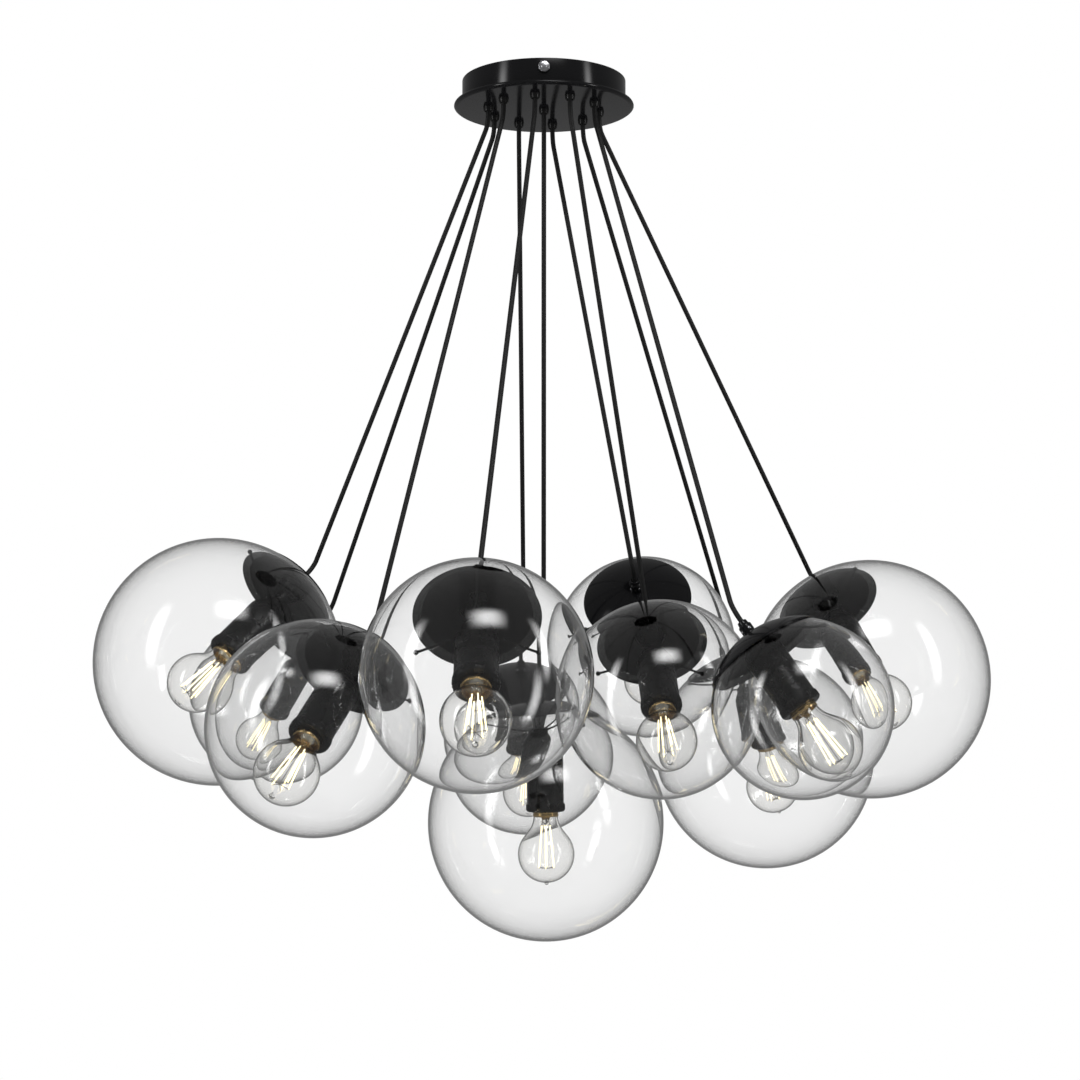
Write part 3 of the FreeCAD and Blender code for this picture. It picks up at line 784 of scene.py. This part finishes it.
def envelope_line(face, inset):
    """From the neck, by a smooth curve, into the ball and down to the pip."""
    centre = (0, face - BULB_LENGTH + BULB_RADIUS)
    radius = BULB_RADIUS - inset
    meet = math.radians(BALL_ANGLE)
    neck = Vector((BULB_NECK - inset, face - 0.003))
    ball = Vector(arc(radius, BALL_ANGLE, BALL_ANGLE, 1, centre)[0])
    reach = (neck - ball).length * 0.42
    neck_lead = neck - Vector((0, reach))
    ball_lead = ball - Vector((math.cos(meet), -math.sin(meet))) * reach
    points = []
    for step in range(NECK_STEPS + 1):
        share = step / NECK_STEPS
        first = neck.lerp(neck_lead, share)
        middle = neck_lead.lerp(ball_lead, share)
        final = ball_lead.lerp(ball, share)
        point = first.lerp(middle, share).lerp(middle.lerp(final, share), share)
        points.append((point.x, point.y))
    points += arc(radius, BALL_ANGLE, PIP_ANGLE, 30, centre)[1:]
    pip = points[-1][0]
    low = centre[1] - radius
    return points + [
        (pip * 0.62, low - 0.0006),
        (pip * 0.60, low - PIP_LENGTH * 0.6),
        (pip * 0.34, low - PIP_LENGTH * 0.92),
        (0, low - PIP_LENGTH),
    ]


def envelope_outline(face):
    """The outside from its pip up to the neck, then the inside back down."""
    outside = envelope_line(face, 0)
    inside = envelope_line(face, BULB_WALL)
    return on_axis(outside[::-1] + inside)


print("envelope outline", len(envelope_outline(0)), "points")


# %% Screw base and stem
def base_outline(face):
    """The gilt base: contact end, plain thread part and the collar that shows."""
    return rounded([
        (0, face + 0.026, 0),
        (0.0040, face + 0.026, 0.0006),
        (0.0130, face + 0.021, 0.0010),
        (0.0132, face - 0.0020, 0.0003),
        (0.0136, face - 0.0030, 0.0005),
        (0.0134, face - 0.0052, 0.0006),
        (0.0120, face - 0.0052, 0),
        (0.0118, face + 0.002, 0),
        (0, face + 0.002, 0),
    ])


def stem_outline(face):
    """The glass stem that stands inside the neck."""
    return rounded([
        (0, face, 0),
        (0.0100, face, 0.001),
        (0.0046, face - 0.006, 0.003),
        (0.0028, face - 0.012, 0.002),
        (0.0025, face - 0.018, 0.001),
        (0, face - 0.0192, 0),
    ])


print("screw base", len(base_outline(0)), "points, stem", len(stem_outline(0)))

# %% Filaments and their wires
FILAMENT_TOP = 0.0150
FILAMENT_END = 0.0590
FILAMENT_NEAR = 0.0050
FILAMENT_FAR = 0.0092
FILAMENT_RADIUS = 0.00065
FIRST_FILAMENT = 20
WIRE_RADIUS = 0.00035


def filaments(face, matrix):
    """Straight sticks that spread a little towards the far end."""
    near = (FILAMENT_NEAR, 0, face - FILAMENT_TOP)
    far = (FILAMENT_FAR, 0, face - FILAMENT_END)
    stick = rod("stick", near, far, FILAMENT_RADIUS, 10)
    return ring_of("filaments", stick, FILAMENT_COUNT, 0, FIRST_FILAMENT, filament_glow, matrix)


def support_wires(face, matrix):
    """A post, with a lead from the stem to each filament and a hook at each far end."""
    near = (FILAMENT_NEAR, 0, face - FILAMENT_TOP)
    far = (FILAMENT_FAR, 0, face - FILAMENT_END)
    foot = (0, 0, face - FILAMENT_END - 0.001)
    upper = rod("lead", (0.0030, 0, face - 0.006), near, WIRE_RADIUS, 8)
    lower = rod("hook", foot, far, WIRE_RADIUS, 8)
    wire = joined("wire", [upper, lower])
    ring = ring_of("wires", wire, FILAMENT_COUNT, 0, FIRST_FILAMENT, bright_metal)
    post = rod("post", (0, 0, face - 0.018), foot, WIRE_RADIUS, 8)
    whole = joined("support_wires", [ring, post])
    whole.transform(matrix)
    return whole


print("filaments", FILAMENT_COUNT, "length, mm", round((FILAMENT_END - FILAMENT_TOP) * 1000))

# %% [markdown]
# ## Cords
# Each cord hangs taut, so it leaves its gland straight down, turns, runs straight to its head and
# comes in along the head's own axis. The line is a smooth curve through the same few points as
# the construction's, with one more near each end of the long straight stretch.

# %% Cords
CORD_EXIT_HEIGHT = collar_low + CORD_ENTRY


def cord_route(slot, matrix):
    """Out of the gland, round one bend, straight across and in along the head's axis."""
    place = Vector((0, 0, 0))
    if slot is not None:
        bearing = math.radians(FIRST_SLOT_BEARING + slot * 360 / RING_SLOTS)
        place = Vector((math.cos(bearing), math.sin(bearing), 0)) * RING_RADIUS
    start = place + Vector((0, 0, CORD_EXIT_HEIGHT))
    bend = start - Vector((0, 0, CORD_DROP_RUN))
    grip = matrix @ Vector((0, 0, 0))
    lead = matrix @ Vector((0, 0, CORD_GRIP_RUN))
    along = (lead - bend).normalized()
    return [start, bend, bend + along * CORD_DROP_RUN, lead - along * CORD_GRIP_RUN, lead, grip]


print("points on a cord's route", len(cord_route(0, Matrix())))


# %% Cord piece
def make_cord(key, slot, matrix):
    """One smooth open spline on its pendant's body. Returns the length of its route."""
    route = cord_route(slot, matrix)
    line = bpy.data.curves.new(f"cord_line_{key}", "CURVE")
    line.dimensions = "3D"
    line.bevel_depth = CORD_DIAMETER / 2
    line.bevel_resolution = 4
    line.use_fill_caps = True
    line.resolution_u = 24
    spline = line.splines.new("NURBS")
    spline.points.add(len(route) - 1)
    for point, place in zip(spline.points, route):
        point.co = (*place, 1)
    spline.order_u = 3
    spline.use_endpoint_u = True
    line.materials.append(cord_sheath)
    cord = bpy.data.objects.new(f"cord_line_{key}", line)
    scene.collection.objects.link(cord)
    length = sum((b - a).length for a, b in zip(route, route[1:]))
    body = f"pendant_{key}"
    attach(cord, body)
    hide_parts(f"cord_{key}")
    return length


# %% [markdown]
# ## Hanging the cluster
# Every pendant is the same assembly with its own globe, lean and bearing, so one loop makes them.

# %% Pendants
def make_pendant(key, radius, slot, centre, lean, bearing):
    """All the pieces of one pendant, on its own body. Returns the length of its cord."""
    body = f"pendant_{key}"
    matrix = head_matrix(radius, centre, lean, bearing)
    neck = neck_length(radius)
    face = -CROWN - neck - HOLDER_LENGTH
    globe = lathe(f"glass_{key}", globe_outline(radius), GLOBE_SEGMENTS, matrix, 60)
    add_piece(f"glass_{key}", globe, globe_glass, body, [f"globe_{key}"])
    dome = lathe(f"dome_{key}", cap_outline(radius), CAP_SEGMENTS, matrix, 60)
    add_piece(f"dome_{key}", dome, black_enamel, body, [f"cap_{key}"])
    grip = lathe(f"grip_{key}", grip_outline, 40, matrix)
    add_piece(f"grip_{key}", grip, black_enamel, body)
    add_piece(f"grub_screws_{key}", grub_screws(matrix), bright_metal, body)
    barrel = lathe("barrel", holder_outline(neck), HOLDER_SEGMENTS, matrix)
    holder = joined(f"lampholder_{key}", [barrel, holder_ribs(neck, matrix)])
    add_piece(f"lampholder_{key}", holder, black_moulding, body, [f"holder_{key}"])
    add_piece(f"arms_{key}", sprung_arms(radius, neck, matrix), black_wire, body)
    envelope = lathe(f"envelope_{key}", envelope_outline(face), BULB_SEGMENTS, matrix, 60)
    add_piece(f"envelope_{key}", envelope, bulb_glass, body, [f"bulb_{key}"])
    base = lathe(f"screw_base_{key}", base_outline(face), 48, matrix)
    add_piece(f"screw_base_{key}", base, gilt_metal, body)
    stem = lathe(f"stem_{key}", stem_outline(face), 24, matrix)
    add_piece(f"stem_{key}", stem, bulb_glass, body)
    add_piece(f"filaments_{key}", filaments(face, matrix), filament_glow, body)
    add_piece(f"leads_{key}", support_wires(face, matrix), bright_metal, body)
    return make_cord(key, slot, matrix)


for key, (radius, slot, centre, lean, bearing) in PENDANTS.items():
    length = make_pendant(key, radius, slot, centre, lean, bearing)
    print("pendant", key, "globe", round(radius * 2000), "mm, cord", round(length * 1000), "mm")

# %% [markdown]
# ## Studio
# The photograph has a plain white ground. The floor is pale and far below the pendant. Floor and
# world are white where the camera or the glass looks at them, softer as a light and darker still
# in a mirror, so that the black pieces stay black. Two tall soft boxes at the sides give the
# upright highlights on the glass and the drum, and a large one lights the cluster from above.

# %% Rays that saw no surface but glass
WHITE_LEVEL = 1.0


def seen_straight(tree):
    """One for a ray that has only gone through glass since the camera, and zero for others."""
    rays = tree.nodes.new("ShaderNodeLightPath")
    bounced = tree.nodes.new("ShaderNodeMath")
    bounced.operation = "ADD"
    straight = tree.nodes.new("ShaderNodeMath")
    straight.operation = "LESS_THAN"
    straight.inputs[1].default_value = 0.5
    tree.links.new(rays.outputs["Glossy Depth"], bounced.inputs[0])
    tree.links.new(rays.outputs["Diffuse Depth"], bounced.inputs[1])
    tree.links.new(bounced.outputs[0], straight.inputs[0])
    return straight.outputs[0]


# %% Floor
FLOOR_HEIGHT = -4.5
FLOOR_REACH = 30
GLOSS_LEVEL = 0.20
floor_mesh = bpy.data.meshes.new("floor")
floor_corners = [(x, y, FLOOR_HEIGHT) for x, y in ((-1, -1), (1, -1), (1, 1), (-1, 1))]
floor_mesh.from_pydata(floor_corners, [], [(0, 1, 2, 3)])
floor_mesh.transform(Matrix.Diagonal((FLOOR_REACH, FLOOR_REACH, 1, 1)))
floor = bpy.data.objects.new("floor", floor_mesh)
scene.collection.objects.link(floor)
floor_paint = bpy.data.materials.new("floor_paint")
floor_paint.use_nodes = True
floor_tree = floor_paint.node_tree
floor_shader = floor_tree.nodes["Principled BSDF"]
floor_shader.inputs["Base Color"].default_value = (0.86, 0.86, 0.86, 1)
floor_shader.inputs["Roughness"].default_value = 0.9
floor_glow = floor_tree.nodes.new("ShaderNodeEmission")
floor_glow.inputs["Strength"].default_value = WHITE_LEVEL
floor_blend = floor_tree.nodes.new("ShaderNodeMixShader")
floor_dim = floor_tree.nodes.new("ShaderNodeEmission")
floor_dim.inputs["Strength"].default_value = GLOSS_LEVEL
floor_rays = floor_tree.nodes.new("ShaderNodeLightPath")
floor_mirror = floor_tree.nodes.new("ShaderNodeMixShader")
floor_tree.links.new(floor_rays.outputs["Is Glossy Ray"], floor_mirror.inputs["Fac"])
floor_tree.links.new(floor_shader.outputs[0], floor_mirror.inputs[1])
floor_tree.links.new(floor_dim.outputs[0], floor_mirror.inputs[2])
floor_tree.links.new(seen_straight(floor_tree), floor_blend.inputs["Fac"])
floor_tree.links.new(floor_mirror.outputs[0], floor_blend.inputs[1])
floor_tree.links.new(floor_glow.outputs[0], floor_blend.inputs[2])
floor_tree.links.new(floor_blend.outputs[0], floor_tree.nodes["Material Output"].inputs["Surface"])
floor_mesh.materials.append(floor_paint)
print("floor", len(floor_tree.nodes), "nodes")

# %% World
DIFFUSE_LEVEL = 0.60
world = bpy.data.worlds.new("studio")
scene.world = world
world.use_nodes = True
world_tree = world.node_tree
ground = world_tree.nodes["Background"]
ground.inputs["Color"].default_value = (1, 1, 1, 1)
rays = world_tree.nodes.new("ShaderNodeLightPath")
gloss = world_tree.nodes.new("ShaderNodeMapRange")
gloss.inputs["To Min"].default_value = DIFFUSE_LEVEL
gloss.inputs["To Max"].default_value = GLOSS_LEVEL
level = world_tree.nodes.new("ShaderNodeMapRange")
level.inputs["To Max"].default_value = WHITE_LEVEL
world_tree.links.new(rays.outputs["Glossy Depth"], gloss.inputs["Value"])
world_tree.links.new(seen_straight(world_tree), level.inputs["Value"])
world_tree.links.new(gloss.outputs["Result"], level.inputs["To Min"])
world_tree.links.new(level.outputs["Result"], ground.inputs["Strength"])
print("world", len(world_tree.nodes), "nodes")


# %% Lights
SOFT_EDGE = 0.45


def soft_box(name, place, target, width, height, power):
    """A panel light that fades towards its edges, like a lamp behind cloth."""
    data = bpy.data.lights.new(name, "AREA")
    data.shape = "RECTANGLE"
    data.size = width
    data.size_y = height
    data.energy = power
    data.use_nodes = True
    tree = data.node_tree
    glow = tree.nodes["Emission"]
    panel = tree.nodes.new("ShaderNodeNewGeometry")
    halves = tree.nodes.new("ShaderNodeSeparateXYZ")
    tree.links.new(panel.outputs["Parametric"], halves.inputs[0])
    fades = []
    for axis in ("X", "Y"):
        ramp = tree.nodes.new("ShaderNodeMath")
        ramp.operation = "PINGPONG"
        ramp.inputs[1].default_value = 0.5
        fade = tree.nodes.new("ShaderNodeMapRange")
        fade.interpolation_type = "SMOOTHSTEP"
        fade.inputs["From Max"].default_value = SOFT_EDGE
        tree.links.new(halves.outputs[axis], ramp.inputs[0])
        tree.links.new(ramp.outputs[0], fade.inputs["Value"])
        fades.append(fade)
    product = tree.nodes.new("ShaderNodeMath")
    product.operation = "MULTIPLY"
    tree.links.new(fades[0].outputs["Result"], product.inputs[0])
    tree.links.new(fades[1].outputs["Result"], product.inputs[1])
    tree.links.new(product.outputs[0], glow.inputs["Strength"])
    light = bpy.data.objects.new(name, data)
    light.location = place
    aim = Vector(target) - Vector(place)
    light.rotation_euler = aim.to_track_quat("-Z", "Y").to_euler()
    scene.collection.objects.link(light)


MIDDLE = (0, 0, -0.6)
soft_box("left_strip", (-1.9, -1.2, 0.1), MIDDLE, 0.6, 2.4, 40)
soft_box("right_strip", (1.9, -1.0, 0.1), MIDDLE, 0.5, 2.4, 32)
soft_box("overhead", (0.3, -1.5, 1.0), MIDDLE, 1.4, 0.9, 40)
print("lamps", len(bpy.data.lights))

# %% [markdown]
# ## Light paths
# A line of sight can cross three globes and a bulb, each with four faces of glass, so the path
# lengths are raised until nothing turns black for want of a bounce.

# %% Path lengths
GLASS_BOUNCES = 32
scene.cycles.max_bounces = GLASS_BOUNCES
scene.cycles.transmission_bounces = GLASS_BOUNCES
scene.cycles.transparent_max_bounces = GLASS_BOUNCES
scene.cycles.glossy_bounces = 8
scene.view_settings.view_transform = "Standard"
print("bounces", GLASS_BOUNCES)
